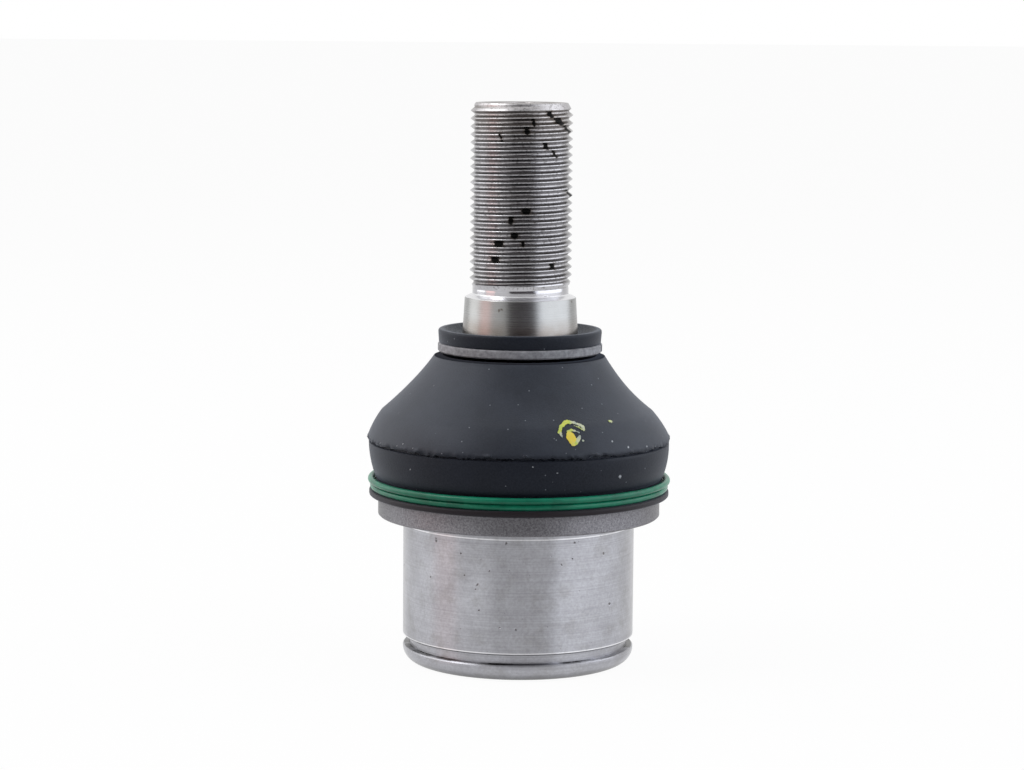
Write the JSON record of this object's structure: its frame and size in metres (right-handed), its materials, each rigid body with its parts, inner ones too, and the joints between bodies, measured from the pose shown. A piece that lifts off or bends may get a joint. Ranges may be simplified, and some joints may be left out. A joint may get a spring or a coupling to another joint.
{
  "type": "suspension ball joint",
  "caption": "Press-in suspension ball joint: flanged steel housing, rubber boot and a threaded taper stud that tilts and spins.",
  "frame": {"origin": "centre of the ball, on the axis of the press seat", "axes": "+Z along the stud towards its thread, with the stud upright; -Y is the side that the picture shows"},
  "size_m": [0.0578, 0.0578, 0.1062],
  "materials": {
    "stud_steel": "turned and rolled, oiled",
    "housing_steel": "turned seat, blasted flange",
    "bearing_plastic": "moulded acetal",
    "spring_steel": "hardened, oiled",
    "cover_steel": "pressed, zinc plated",
    "boot_rubber": "moulded matt black",
    "green_coated_wire": "green epoxy coat",
    "zinc_plated_band": "dull zinc plate",
    "slide_ring_plastic": "moulded nylon"
  },
  "bodies": {
    "housing_body": {"housing": "housing_steel", "upper_bearing_seat": "bearing_plastic", "lower_bearing_cup": "bearing_plastic", "preload_spring": "spring_steel", "cover_plate": "cover_steel"},
    "boot_body": {"boot": "boot_rubber", "lower_clamp_ring": "green_coated_wire"},
    "boot_neck": {"upper_clamp_ring": "zinc_plated_band", "neck_slide_ring": "slide_ring_plastic"},
    "stud": {"ball_stud": "stud_steel"}
  },
  "joints": [
    {"name": "swing_direction", "type": "hinge", "parent": "housing_body", "child": "boot_body", "pos_m": [0, 0, 0], "axis": [0, 0, 1], "continuous": true},
    {"name": "stud_tilt", "type": "hinge", "parent": "boot_body", "child": "boot_neck", "pos_m": [0, 0, 0], "axis": [1, 0, 0], "range_deg": [-22, 22], "deforming": ["boot"]},
    {"name": "stud_spin", "type": "hinge", "parent": "boot_neck", "child": "stud", "pos_m": [0, 0, 0], "axis": [0, 0, 1], "continuous": true}
  ]
}
